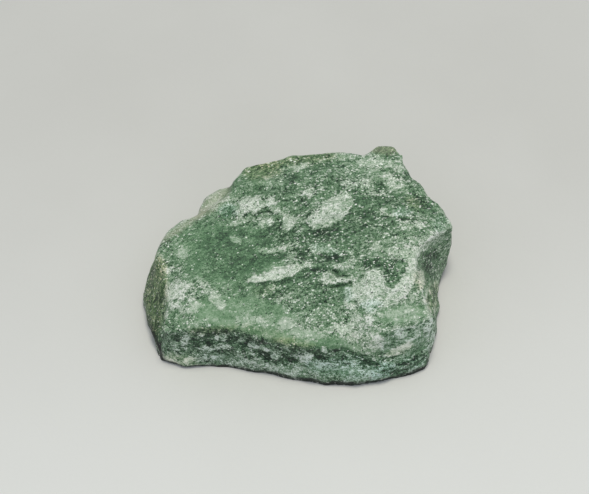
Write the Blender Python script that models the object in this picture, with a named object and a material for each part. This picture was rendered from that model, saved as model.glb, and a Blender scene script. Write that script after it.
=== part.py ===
"""A raw jade boulder: one broken, unpolished green stone that rests on its flat underside.

The stone is a low block, 50 mm long, broken off across its layers. A rim of corners bounds the gently
sloping top face, steep broken sides fall from the rim to the toe, and the toe is drawn in a little
under the stone. A knob and a low ledge stand at the back. Lumps, flakes, stepped layers and rough
fracture are worked into the faces, and the stone is flat where it rests.

Sizes are in millimetres until the end, where the mesh is scaled to metres. +X is the stone's right
end, -Y its front and +Z up.
"""
import bmesh
import bpy
from mathutils import Matrix, Vector, geometry, noise

# ---------------------------------------------------------------- driving dimensions, in millimetres
NODE_NAME = "jade_boulder"
METRES_PER_MM = 0.001

UNDERCUT = 2.2          # how far the underside is drawn in from the toe line
BASE_DEPTH = 0.15       # stone below the resting plane before the underside is made flat

# Corners round the stone, from its left end along the front, up the right side and along the back.
# Each has its point on the rim of the top face and its point on the toe, the widest line of the stone
# just above the underside (x, y, z).
CORNERS = [
    # left end, overhanging at its front
    ((-21.9, 3.5, 10.6), (-23.6, 4.0, 1.2)),
    ((-22.2, 0.8, 10.4), (-25.0, 0.4, 1.4)),
    ((-21.0, -3.4, 9.6), (-24.6, -4.4, 1.8)),
    ((-20.0, -8.0, 9.0), (-23.3, -9.2, 2.4)),
    ((-20.8, -12.2, 8.2), (-21.9, -12.7, 0.7)),
    # front face, with its edge dropping to the tongue
    ((-16.6, -12.8, 9.2), (-17.2, -14.2, 0.3)),
    ((-12.0, -12.3, 9.8), (-12.3, -14.1, 0.3)),
    ((-8.9, -12.9, 9.4), (-9.1, -14.5, 0.35)),
    ((-5.0, -14.0, 9.0), (-5.2, -14.9, 0.5)),
    ((-0.7, -14.9, 8.6), (-0.9, -15.9, 0.75)),
    ((6.6, -15.6, 8.6), (6.8, -17.1, 1.0)),
    ((9.6, -15.6, 6.8), (10.1, -17.2, 0.95)),
    ((12.6, -15.9, 5.2), (13.0, -16.6, 0.75)),
    # small facet at the right of the front
    ((13.3, -13.8, 10.6), (14.4, -16.3, 0.65)),
    ((17.3, -12.8, 10.8), (17.4, -15.7, 0.6)),
    ((21.2, -11.0, 10.2), (20.6, -14.3, 0.7)),
    # hollowed right side
    ((20.0, -7.1, 11.6), (21.5, -10.4, 1.0)),
    ((18.2, -2.1, 12.8), (23.3, -2.6, 1.2)),
    ((20.6, 2.0, 12.8), (23.7, 1.0, 1.2)),
    ((25.3, 5.4, 11.6), (24.4, 4.0, 1.2)),
    # back, from the right corner to the stepped left shoulder
    ((24.2, 8.4, 12.0), (25.0, 9.2, 1.2)),
    ((19.0, 14.8, 13.0), (20.8, 16.2, 1.2)),
    ((17.0, 18.2, 12.8), (18.0, 19.8, 1.2)),
    ((10.6, 18.8, 13.6), (10.8, 21.2, 1.2)),
    ((6.4, 19.4, 14.2), (6.4, 21.6, 1.2)),
    ((-1.2, 18.4, 14.0), (-0.8, 20.8, 1.2)),
    ((-8.5, 17.0, 13.2), (-9.6, 19.0, 1.2)),
    ((-10.2, 14.6, 12.8), (-12.8, 16.4, 1.2)),
    ((-11.2, 11.8, 12.0), (-14.6, 13.2, 1.2)),
    ((-15.0, 8.9, 11.4), (-17.4, 10.6, 1.2)),
    ((-18.8, 7.2, 11.0), (-20.6, 8.4, 1.2)),
]

# High and low places inside the rim, which give the top face its facets.
CROWN_POINTS = [
    # bench along the front, steeper than the face behind it
    (-19.0, -5.0, 10.2),
    (-15.6, -5.6, 11.2),
    (-11.3, -9.6, 11.0),
    (-4.0, -9.6, 11.4),
    (7.3, -9.4, 12.0),
    (13.8, -9.6, 12.2),
    (17.3, -8.3, 12.4),
    # broad face behind the bench
    (-15.6, 2.6, 11.8),
    (-7.6, 5.8, 12.8),
    (-7.5, -3.3, 12.2),
    (2.0, -3.6, 12.6),
    (0.4, 7.4, 13.8),
    (11.4, -2.0, 13.2),
    (10.0, 9.0, 14.0),
    (17.4, 6.4, 13.4),
    (5.3, 14.2, 14.6),
]

# Chunks that stand out of the back: outline of the top (x, y), height of the top, height of the
# bottom, and how far the sides flare out on the way down.
CHUNKS = {
    "back_knob": (
        [(11.2, 16.8), (11.8, 19.5), (13.4, 20.8), (16.2, 20.7), (17.6, 18.9), (17.4, 16.6)],
        13.5, 7.0, -0.6),
    "back_ledge": (
        [(-16.2, 7.8), (-15.9, 10.1), (-14.9, 12.4), (-12.7, 14.3), (-10.2, 14.9), (-9.0, 9.0)],
        10.4, 1.0, 1.4),
}

# Ledges on the top face, each a low plate with a ragged steep edge towards the front:
# middle of the edge (x, y), half-length along the layers, depth behind the edge, rise.
LEDGES = [
    (-3.2, -4.0, 5.4, 3.2, 0.60),
    (5.2, 5.0, 3.8, 5.0, 0.55),
    (-6.2, 7.6, 4.6, 2.6, 0.45),
    (12.6, -8.4, 4.0, 5.0, 0.40),
    (14.4, -1.2, 4.6, 1.8, 0.50),
    (-15.8, -4.8, 3.6, 2.4, 0.35),
    (6.8, -3.6, 3.4, 1.8, 0.45),
    (17.0, 7.2, 4.0, 3.0, 0.45),
    (-1.0, 11.4, 5.0, 2.4, 0.40),
]
LEDGE_EDGE = 0.45       # width of a ledge's steep edge
LEDGE_RAGGED, LEDGE_RAG = 0.9, 2.2          # how far the edge wanders, and over what
LEDGE_END = 0.55        # share of the half-length that keeps the full rise
LEDGE_PLATE = 0.3       # share of the depth that keeps the full rise
SMOOTH_PATCH = ((-11.5, 3.0), 9.0, 0.55)    # calmer dish of the top face: middle, radius, how calm
UPWARD = (0.35, 0.8)    # range of the normal's z over which a face counts as part of the top

# The layers of the stone dip steeply towards the front.
LAYER_NORMAL = Vector((0.25, -0.77, 0.58)).normalized()
LAYER_LENGTH = Vector((0.95, 0.31, 0.0)).normalized()
LAYER_DIP = LAYER_NORMAL.cross(LAYER_LENGTH)
LAYER_WAVE, LAYER_WAVELENGTH = 1.2, 6.5     # how far a layer wanders from flat, and over what
STEP_SPACING = 3.0      # distance between stepped layers
STEP_RISE = 0.45        # height of the boldest step
STEP_EDGE = 0.20        # share of the spacing taken by the steep side of a step
STEP_PATCH = 8.0        # size of the places where the steps stand out or are worn away
STEP_PATCH_PLACE = Vector((31.0, 7.0, 0.0))

# Fracture scars: shallow hollows that meet in ridges, drawn out along the layers.
SCAR_STRETCH = Vector((0.55, 0.9, 1.25))     # shares along the layers, down their dip, across them
BROAD_SCAR, BROAD_DEPTH = 6.5, 1.0
SMALL_SCAR, SMALL_DEPTH = 2.4, 0.42
SCAR_WANDER = 0.35      # share of a scar's size by which its ridges wander
WANDER_GRAIN = 1.7
WANDER_PLACES = [Vector((shift, 0.0, 0.0)) for shift in (0.0, 19.0, 43.0)]
MEAN_SCAR = 0.25        # mean squared distance to the middle of a scar, in scar sizes

FLAT_WITHIN = 0.04      # points of the underside this close to the resting plane lie on it

# Working grain and finish
VOXEL = 0.45            # cell of the worked surface
BLUNTING = 2            # passes that blunt the broken edges
TRIANGLES = 7600        # triangles left in the finished stone, about
SHORTEST_EDGE = 0.02    # edges shorter than this are closed up
JADE_GREEN = (0.172, 0.246, 0.166, 1.0)


def clear_scene():
    """Remove everything that a new file starts with."""
    for item in list(bpy.data.objects):
        bpy.data.objects.remove(item, do_unlink=True)


def new_object(name, mesh):
    item = bpy.data.objects.new(name, mesh)
    bpy.context.scene.collection.objects.link(item)
    return item


def mesh_from(bm, name):
    mesh = bpy.data.meshes.new(name)
    bm.to_mesh(mesh)
    bm.free()
    return mesh


def evaluated_mesh(item):
    """The object's mesh with its modifiers worked in."""
    depsgraph = bpy.context.evaluated_depsgraph_get()
    return bpy.data.meshes.new_from_object(item.evaluated_get(depsgraph))


def smooth_ramp(low, high, value):
    share = min(max((value - low) / (high - low), 0.0), 1.0)
    return share * share * (3.0 - 2.0 * share)


def broken_block():
    """The block as it broke off: faceted top, steep sides, drawn-in toe and underside."""
    rim = [Vector(on_rim) for on_rim, _ in CORNERS]
    toe = [Vector(on_toe) for _, on_toe in CORNERS]
    middle = sum(toe, Vector()) / len(toe)
    foot = []
    for point in toe:
        inward = Vector((middle.x - point.x, middle.y - point.y, 0.0)).normalized()
        foot.append(Vector((point.x, point.y, -BASE_DEPTH)) + inward * UNDERCUT)

    count = len(rim)
    top = rim + [Vector(point) for point in CROWN_POINTS]
    border = [(i, (i + 1) % count) for i in range(count)]
    plan = [point.to_2d() for point in top]
    _, _, faces, sources, _, _ = geometry.delaunay_2d_cdt(plan, border, [], 1, 1e-6)

    bm = bmesh.new()
    top_verts = [bm.verts.new(point) for point in top]
    for face in faces:
        bm.faces.new([top_verts[sources[i][0]] for i in face])
    toe_verts = [bm.verts.new(point) for point in toe]
    foot_verts = [bm.verts.new(point) for point in foot]
    for upper, lower in ((top_verts, toe_verts), (toe_verts, foot_verts)):
        for i in range(count):
            j = (i + 1) % count
            bm.faces.new((upper[i], lower[i], lower[j], upper[j]))
    bm.faces.new(reversed(foot_verts))
    bmesh.ops.recalc_face_normals(bm, faces=bm.faces)
    return mesh_from(bm, "broken_block")


def broken_chunk(name, outline, top, bottom, flare):
    """A blocky chunk, as a wire object for a Boolean union."""
    middle = sum((Vector(point) for point in outline), Vector((0.0, 0.0))) / len(outline)
    bm = bmesh.new()
    upper = [bm.verts.new((x, y, top)) for x, y in outline]
    lower = []
    for x, y in outline:
        outward = (Vector((x, y)) - middle).normalized() * flare
        lower.append(bm.verts.new((x + outward.x, y + outward.y, bottom)))
    bm.faces.new(upper)
    bm.faces.new(reversed(lower))
    for i in range(len(outline)):
        j = (i + 1) % len(outline)
        bm.faces.new((upper[i], lower[i], lower[j], upper[j]))
    bmesh.ops.recalc_face_normals(bm, faces=bm.faces)
    chunk = new_object(name, mesh_from(bm, name))
    chunk.display_type = 'WIRE'
    chunk.hide_render = True
    return chunk


def layer_position(point):
    """How far a point lies across the layers, with their waviness."""
    return point.dot(LAYER_NORMAL) + LAYER_WAVE * noise.noise(point / LAYER_WAVELENGTH)


def stepped_layers(point):
    """Low steps where the layers come out: a slow rise towards the front and a steep drop."""
    share = (layer_position(point) / STEP_SPACING) % 1.0
    rise = share / (1.0 - STEP_EDGE)
    drop = (1.0 - share) / STEP_EDGE
    boldness = smooth_ramp(-0.15, 0.45, noise.noise(point / STEP_PATCH + STEP_PATCH_PLACE))
    return STEP_RISE * boldness * (min(rise, drop) - 0.5)


def top_ledges(point):
    """Low plates of the top face: ragged and steep at the front, dying away at the back."""
    rise = 0.0
    backward = Vector((-LAYER_LENGTH.y, LAYER_LENGTH.x, 0.0))
    ragged = LEDGE_RAGGED * noise.fractal(point / LEDGE_RAG, 1.0, 2.0, 2)
    for x, y, half_length, depth, height in LEDGES:
        offset = Vector((point.x - x, point.y - y, 0.0))
        along = abs(offset.dot(LAYER_LENGTH)) / half_length
        behind = offset.dot(backward) + ragged
        ends = smooth_ramp(1.0, LEDGE_END, along)
        edge = smooth_ramp(0.0, LEDGE_EDGE, behind)
        back = smooth_ramp(depth, LEDGE_PLATE * depth, behind)
        rise = max(rise, height * ends * edge * back)
    return rise


def scars(point, size, depth):
    """Shallow hollows with ridges between them; zero on average."""
    in_layers = Vector((point.dot(LAYER_LENGTH), point.dot(LAYER_DIP), layer_position(point)))
    place = in_layers * SCAR_STRETCH / size
    wander = Vector([noise.noise(place * WANDER_GRAIN + start) for start in WANDER_PLACES])
    distances, _ = noise.voronoi(place + SCAR_WANDER * wander)
    return depth * (distances[0] ** 2 - MEAN_SCAR)


def relief(point, normal):
    """How far the broken surface stands out at a point, along its normal."""
    upward = smooth_ramp(*UPWARD, normal.z)
    middle, radius, calmness = SMOOTH_PATCH
    away = (Vector(middle) - point.to_2d()).length / radius
    roughness = 1.0 - upward * calmness * smooth_ramp(1.0, 0.5, away)
    fine = scars(point, SMALL_SCAR, SMALL_DEPTH) + stepped_layers(point)
    return scars(point, BROAD_SCAR, BROAD_DEPTH) + roughness * fine + upward * top_ledges(point)


def work_surface(mesh):
    """Blunt the edges, work the relief into the stone and flatten what it rests on."""
    bm = bmesh.new()
    bm.from_mesh(mesh)
    for _ in range(BLUNTING):
        bmesh.ops.smooth_vert(bm, verts=bm.verts, factor=0.5, use_axis_x=True, use_axis_y=True,
                              use_axis_z=True)
    bm.normal_update()
    moved = [vert.co + vert.normal * relief(vert.co, vert.normal) for vert in bm.verts]
    for vert, place in zip(bm.verts, moved):
        vert.co = (place.x, place.y, max(place.z, 0.0))
    bm.to_mesh(mesh)
    bm.free()


def settle(bm):
    """Put the underside exactly on the resting plane, with the origin in the middle below it."""
    for vert in bm.verts:
        if vert.co.z < FLAT_WITHIN:
            vert.co.z = 0.0
    xs = [vert.co.x for vert in bm.verts]
    ys = [vert.co.y for vert in bm.verts]
    middle = Vector(((min(xs) + max(xs)) / 2, (min(ys) + max(ys)) / 2, 0.0))
    bmesh.ops.translate(bm, vec=-middle, verts=bm.verts)


def build_stone():
    stone = new_object(NODE_NAME, broken_block())
    chunks = [broken_chunk(name, *sizes) for name, sizes in CHUNKS.items()]
    for chunk in chunks:
        union = stone.modifiers.new(chunk.name, 'BOOLEAN')
        union.operation = 'UNION'
        union.object = chunk
    remesh = stone.modifiers.new("worked_surface", 'REMESH')
    remesh.mode = 'VOXEL'
    remesh.voxel_size = VOXEL
    stone.data = evaluated_mesh(stone)
    stone.modifiers.clear()
    for chunk in chunks:
        bpy.data.objects.remove(chunk, do_unlink=True)

    work_surface(stone.data)
    thinning = stone.modifiers.new("thinning", 'DECIMATE')
    thinning.ratio = TRIANGLES / (2 * len(stone.data.polygons))
    stone.data = evaluated_mesh(stone)
    stone.modifiers.clear()

    bm = bmesh.new()
    bm.from_mesh(stone.data)
    settle(bm)
    bmesh.ops.dissolve_degenerate(bm, dist=SHORTEST_EDGE, edges=bm.edges)
    bmesh.ops.triangulate(bm, faces=bm.faces)
    bmesh.ops.transform(bm, matrix=Matrix.Scale(METRES_PER_MM, 4), verts=bm.verts)
    bm.to_mesh(stone.data)
    bm.free()
    stone.data.shade_smooth()
    return stone


def jade_material():
    material = bpy.data.materials.new("raw_jade")
    material.use_nodes = True
    shader = material.node_tree.nodes["Principled BSDF"]
    shader.inputs["Base Color"].default_value = JADE_GREEN
    shader.inputs["Roughness"].default_value = 0.55
    shader.inputs["Metallic"].default_value = 0.0
    return material


clear_scene()
jade_boulder = build_stone()
jade_boulder.data.materials.append(jade_material())
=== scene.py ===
import math

import bmesh
import bpy
import numpy as np
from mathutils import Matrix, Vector, noise


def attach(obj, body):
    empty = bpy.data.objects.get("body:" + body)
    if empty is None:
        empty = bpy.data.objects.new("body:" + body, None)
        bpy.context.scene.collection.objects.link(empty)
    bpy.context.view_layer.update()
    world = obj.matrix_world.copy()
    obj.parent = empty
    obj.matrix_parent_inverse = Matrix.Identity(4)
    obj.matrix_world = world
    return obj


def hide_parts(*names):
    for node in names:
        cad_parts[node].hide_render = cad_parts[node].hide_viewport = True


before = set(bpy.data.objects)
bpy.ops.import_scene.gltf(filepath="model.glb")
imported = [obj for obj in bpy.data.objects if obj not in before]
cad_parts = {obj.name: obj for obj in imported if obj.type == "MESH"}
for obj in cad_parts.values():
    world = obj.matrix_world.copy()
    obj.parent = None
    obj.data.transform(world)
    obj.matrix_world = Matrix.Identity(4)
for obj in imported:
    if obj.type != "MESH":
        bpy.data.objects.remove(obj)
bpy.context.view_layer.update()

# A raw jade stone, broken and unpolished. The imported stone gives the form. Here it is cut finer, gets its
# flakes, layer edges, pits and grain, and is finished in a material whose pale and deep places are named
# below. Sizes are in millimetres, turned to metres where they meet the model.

MM = 0.001

# ---------------------------------------------------------------- camera
AIM = (-0.5, 1.75, 8.0)           # point the camera looks at
CAMERA_DISTANCE = 226.0
CAMERA_HEIGHT = 54.0              # degrees above the table
LENS, SENSOR = 85.0, 36.0
PICTURE_WIDTH, PICTURE_HEIGHT = 589, 494
MM_PER_PIXEL = CAMERA_DISTANCE * SENSOR / (LENS * PICTURE_WIDTH)

# ---------------------------------------------------------------- the stone's layers
# The stone is layered. Its layers stand at a slant and run along the stone's length.
LAYER_NORMAL = Vector((0.25, -0.77, 0.58)).normalized()
LAYER_LENGTH = Vector((0.95, 0.31, 0.0)).normalized()
LAYER_WIDTH = LAYER_NORMAL.cross(LAYER_LENGTH).normalized()

# ---------------------------------------------------------------- fine cutting
GRAIN = 0.24                      # spacing of the fine mesh
FINE_SCAR, FINE_SCAR_DEPTH = 1.15, 0.13
LAYER_SPACING, LAYER_RISE = 0.85, 0.10
ROUGH_GRAIN, ROUGH_DEPTH = 0.50, 0.035

FAR = 4.0                         # a reach that counts as nowhere near
FEATHER = 1.5                     # how much softer a mark's far edge is than its near one

# ---------------------------------------------------------------- marks on the stone
# Each mark has its name and lies where the camera sees it. Places and sizes are in pixels of the camera's
# picture, from its left side and its top. Turns are in degrees, softness and lift in millimetres.
# The ridge between the top and the front, from left to right.
RIDGE = ((140, 330), (164, 331), (190, 331), (220, 326), (240, 330), (265, 338), (293, 345), (325, 347),
         (345, 349), (362, 358), (378, 365), (384, 334), (410, 325), (432, 318), (460, 300))
# How far the stone's foot stands out, in millimetres, from left to right, as a line painted dark as the
# shadow under the stone.
FOOT_LINE = ((143, 0.45), (157, 0.50), (166, -0.10), (200, -0.10), (215, 0.10), (240, 0.12), (270, 0.08),
             (300, 0.08), (335, 0.12), (352, 0.28), (390, 0.24), (425, 0.06), (432, 0.0))
# The lower front swells a little at its right. It sets in and ends between these places across the picture,
# and fades upwards between these heights, in millimetres.
LOW_SWELL = 0.45
SWELL_SETS_IN, SWELL_ENDS, SWELL_FADES = (336, 356), (404, 382), (6.0, 2.5)
# The foot turns under and is painted dark, as the shadow under the stone, between these heights. So is the
# left toe, also between these places across the picture and down it.
FOOT_HEIGHTS = (2.0, 1.2)
TOE_ACROSS, TOE_DOWN, TOE_HEIGHTS = (166, 161), (306, 328), (3.8, 1.8)
# Whitened places: x, y, half length, half width, turn, strength, softness and, where they're proud, lift.
PALE = {
    "upper_band_end": (276, 209, 8, 4, -25, .6, .35),
    "upper_dot": (322, 190, 4, 1.7, 80, .8, .12),
    "arched_flake": (266, 222, 9, 6, -5, .75, .25),
    "arch_foot": (248, 219, 7, 3, 20, .45, .3),
    "middle_tail": (286, 229, 5, 3, 60, .7, .15),
    "grey_round": (238, 221, 8, 4, 30, .6, .4),
    "small_round": (235.5, 240, 6.5, 4.8, -15, .85, .22, .08),
    "small_round_tail": (250, 241, 9, 2, 0, .55, .25),
    "left_smudge": (181, 252, 7, 7, -30, .6, .35),
    "left_line": (174, 268, 8, 1.4, 3, .55, .15),
    "hatched_tail": (264, 250, 9, 2.5, 3, .55, .25),
    "streak_haze": (283, 263, 18, 5, 24, .35, .5),
    "chip_below_streak": (272, 287, 5, 4, 0, .8, .15),
    "left_patch_head": (202, 282, 6, 4, -30, .5, .35),
    "left_patch_mottle": (189, 306, 14, 8, 0, .6, .4),
    "left_patch_fleck": (193, 301, 6, 3, -20, .9, .15),
    "left_patch_edge": (171, 305, 8, 3, -60, .55, .3),
    "bench_dash": (258, 319, 6, 2.5, 10, .75, .2),
    "bench_dash_left": (242, 325, 5, 2, -20, .6, .2),
    "bench_patch": (287, 325, 9, 6, -10, .8, .25),
    "bench_right": (308, 333, 20, 5, -5, .65, .4),
    "bench_flake": (341, 328, 9, 5, -30, .75, .2),
    "thin_streak": (315, 290, 10, 1.5, 18, .35, .15),
    "gully_side": (352, 268, 12, 7, -35, .55, .4),
    "gully_head": (356, 258, 8, 4, -10, .4, .4),
    "crossing_line": (335, 251, 12, 1.6, -30, .75, .12),
    "middle_mottle": (322, 249, 12, 5, -15, .6, .4),
    "grey_flake": (375, 247, 7, 5, 0, .6, .25),
    "shoulder_left": (392, 252, 8, 3, 5, .5, .3),
    "broad_left": (352, 292, 7, 6, 30, .8, .3),
    "broad_grey": (350, 303, 7, 5, -20, .7, .25),
    "low_flake": (369, 320, 7, 4.5, 75, .75, .2),
    "low_flake_right": (379, 314, 7, 3.5, 0, .55, .3),
    "low_mint": (356, 318, 9, 5, 0, .4, .4),
    "tongue_streak": (352, 332, 9, 3, -40, .6, .3),
    "facet_rim": (397, 328.5, 19, 1.5, 8, .5, .15),
    "column_edge": (423, 296, 9, 1.6, -78, .95, .1, .06),
    "short_dash": (387, 233.5, 7, 1.6, 8, .85, .1, .08),
    "right_haze": (387, 212, 9, 5, 10, .55, .35),
    "right_haze_far": (406, 211, 8, 3, 10, .5, .3),
    "right_flake": (406, 227, 7, 5, 10, .55, .3),
    "right_sparkle": (420, 226, 6, 4, -20, .95, .2),
    "right_line": (404, 221.5, 5, 1.2, -5, .8, .1),
    "scoop_rim": (432, 238, 13, 2.5, 28, .55, .3),
    "far_white": (352, 184, 11, 4, 5, .75, .25),
    "far_pale": (365, 187, 10, 8, 0, .6, .35),
    "far_line": (378, 194, 8, 2, 5, .8, .15),
    "far_mint": (393, 183, 12, 8, -10, .5, .4),
    "far_edge": (399, 168, 7, 5, -50, .6, .35),
    "back_rim": (345, 157, 14, 4, 5, .4, .4),
    "back_streak": (300, 167, 10, 3, 28, .8, .2),
    "back_fleck": (268, 178, 5, 2.5, 10, .75, .2),
    "ledge": (214, 201, 12, 5, 40, .7, .4),
    "rim_strip": (178, 227, 22, 4, 30, .55, .4),
    "left_edge": (163, 266, 14, 3.5, -72, .5, .4),
    "far_patch": (371, 161, 13, 7, 0, .6, .35),
    "ledge_mint": (224, 206, 9, 5, 10, .45, .35),
    "low_pale": (400, 312, 14, 5, 15, .5, .35),
    "low_pale_left": (352, 312, 8, 5, -20, .45, .3),
    "column_side": (427, 322, 9, 4, -70, .25, .3),
    "edge_pale": (166, 262, 4, 14, 12, .22, .3),
    "far_speckled": (388, 164, 9, 5, -20, .55, .3),
    "flake_a": (185, 340, 5, 5, 0, 1.2, .1, .1),
    "flake_b": (222, 337.5, 8, 3.2, 4, 1.3, .1, .12),
    "flake_c": (226, 346, 6, 2.2, -4, 1.0, .1, .08),
    "flake_d": (201, 335, 4, 2, 0, 1.1, .1),
    "flake_e": (213, 349, 6, 1.6, 10, .8, .1),
    "flake_f": (204, 348, 6, 2.5, 5, .8, .1),
    "flake_g": (175, 348, 4, 2, -10, 1.0, .1),
    "flake_h": (252, 345, 5, 3.5, -20, 1.35, .1, .1),
    "flake_i": (263, 349, 7, 2.2, -20, 1.25, .1, .08),
    "flake_j": (276, 355.5, 4.5, 4.5, -20, 1.4, .1, .1),
    "flake_k": (307, 357.5, 8, 4.2, 20, 1.35, .1, .12),
    "flake_l": (324.5, 349.5, 4.5, 3.6, -60, 1.35, .1, .08),
    "foot_left": (176, 359, 20, 6, -6, .62, .4),
    "foot_mint": (214, 357, 12, 4, 5, .5, .3),
    "foot_middle": (245, 363, 18, 5, -8, .6, .35),
    "foot_slant": (268, 367, 11, 3, -38, .65, .2),
    "foot_far": (373, 372, 8, 5, 10, .6, .3),
    "facet_fleck": (401, 335, 6, 4, 20, .6, .15, .08),
    "facet_streak": (383, 343, 8, 2, 82, .4, .15),
    "facet_edge": (378, 336, 5, 1.6, 80, .6, .15),
    "facet_specks": (390, 362, 8, 4, 20, .45, .3),
    "left_flake_low": (166, 315, 5, 2, 80, .85, .12),
    "oval_haze": (318, 216, 16, 8, 30, .25, .6),
    "column_foot": (428, 312, 8, 2, -70, .25, .3),
    "right_tablet": (421, 280, 9, 4, 95, .75, .16, .1),
    "face_rim": (434, 237, 10, 2, 27, .85, .15, .06),
    "face_speck_a": (433, 272, 3, 1.5, 70, .85, .1),
    "face_speck_b": (436, 284, 4, 2, 60, .8, .1),
    "face_speck_c": (439, 250, 2.5, 1.2, 80, .75, .1),
    "face_speck_d": (430, 292, 3, 1.5, -70, .85, .1),
    "face_speck_e": (426, 258, 1.5, 1.2, 0, .9, .1),
    "edge_line_right": (446, 252, 12, 1.2, 62, .7, .15),
    "edge_line_low": (437, 292, 20, 1.2, 82, .55, .2),
    "hatched_line": (300, 246, 10, 1.2, -40, .6, .1),
    "bench_haze": (262, 322, 26, 6, -6, .45, .6),
    "left_face_fleck_a": (150, 292, 4, 1.6, 60, .6, .15),
    "left_face_fleck_b": (154, 318, 4, 1.6, 70, .6, .15),
    "left_face_fleck_c": (148, 305, 3, 1.4, 80, .5, .15),
    "left_rim": (160, 275, 20, 3, 75, .45, .3),
    "streak_top": (291, 256, 7, 4, 40, .6, .25),
    "streak_end": (308, 265, 8, 3.5, 5, .65, .2),
    "gully_pale": (341, 268, 8, 3, -10, .55, .3),
    "broad_low": (389, 303.5, 12, 4.5, 5, .9, .3),
    "far_line_pale": (387, 214, 10, 2.6, -4, .7, .2),
}
# Larger whitened places that no oval fits: strength, softness, lift and outline.
PALE_OUTLINES = {
    # The great oval is partly whitened stone and partly a painted sheen off its smooth face.
    "great_oval": (.94, .2, .14, ((304, 222), (311, 214), (318, 207), (326, 201), (333, 196), (339, 193),
        (346, 191), (353, 195), (354, 203), (351, 208), (349, 214), (343, 219), (336, 224), (329, 228),
        (322, 228), (316, 230), (310, 228))),
    "long_streak": (1.0, .14, .12, ((244, 283), (249, 278), (255, 274), (260, 275), (264, 270),
        (271, 271), (275, 268), (280, 269), (285, 265), (291, 265), (296, 261), (303, 263), (309, 260),
        (314, 264), (306, 268), (302, 271), (297, 274), (292, 278), (286, 278), (280, 281), (270, 281),
        (261, 283), (252, 283))),
    "upper_band": (1.0, .24, .12, ((227, 200), (235, 203), (243, 197), (252, 197), (260, 199), (269, 198),
        (276, 202), (275, 206), (268, 209), (261, 210), (255, 214), (248, 213), (243, 217), (238, 221),
        (233, 210))),
    "middle_flake": (.95, .18, .12, ((281, 218), (285, 213), (292, 215), (298, 218), (299, 223),
        (295, 226), (291, 230), (285, 231), (281, 227), (283, 222))),
    "upper_fleck": (.9, .14, .12, ((301, 195), (306, 188), (314, 185), (314, 191), (317, 196),
        (309, 198))),
    "hatched_streak": (.85, .16, .12, ((256, 250), (263, 248), (271, 249), (280, 247), (286, 245),
        (291, 242), (295, 245), (291, 250), (285, 251), (279, 253), (270, 255), (262, 253))),
    "inner_streak": (.85, .16, .12, ((320, 279), (322, 274), (328, 271), (334, 273), (337, 278),
        (343, 276), (350, 277), (352, 280), (344, 282), (337, 284), (330, 286), (323, 284))),
    "broad_white": (.9, .22, .12, ((347, 291), (353, 283), (361, 279), (367, 270), (374, 267),
        (383, 268), (383, 277), (386, 285), (391, 289), (398, 286), (403, 279), (407, 272), (411, 264),
        (416, 262), (418, 269), (415, 278), (412, 288), (406, 296), (399, 300), (391, 302), (383, 305),
        (375, 307), (368, 312), (361, 306), (355, 301), (350, 300))),
    "shoulder_flake": (.85, .18, .12, ((395, 248), (403, 246), (411, 244), (420, 246), (425, 250),
        (418, 254), (415, 262), (409, 266), (404, 260), (398, 255))),
    "left_patch": (.85, .25, .1, ((165, 284), (174, 281), (184, 282), (194, 282), (196, 287), (189, 290),
        (186, 294), (184, 299), (174, 301), (168, 300), (165, 293))),
    "slanting_band": (.58, .2, .06, ((197, 279), (204, 279), (208, 286), (214, 292), (220, 298),
        (225, 305), (223, 312), (217, 309), (211, 303), (206, 295), (201, 287))),
    "facet_wedge": (.85, .12, .12, ((383, 356), (390, 350), (398, 346), (407, 343), (414, 345),
        (410, 350), (403, 352), (396, 355), (390, 357))),
    "column_arm": (.9, .18, .12, ((409, 256), (415, 252), (420, 254), (418, 260), (416, 266), (412, 271),
        (409, 277), (407, 284), (402, 288), (396, 291), (390, 291), (397, 283), (402, 276), (406, 268),
        (409, 262))),
    "shoulder_white": (.8, .22, .08, ((386, 251), (394, 246), (404, 247), (413, 249), (409, 256),
        (400, 259), (390, 258))),
}
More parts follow.
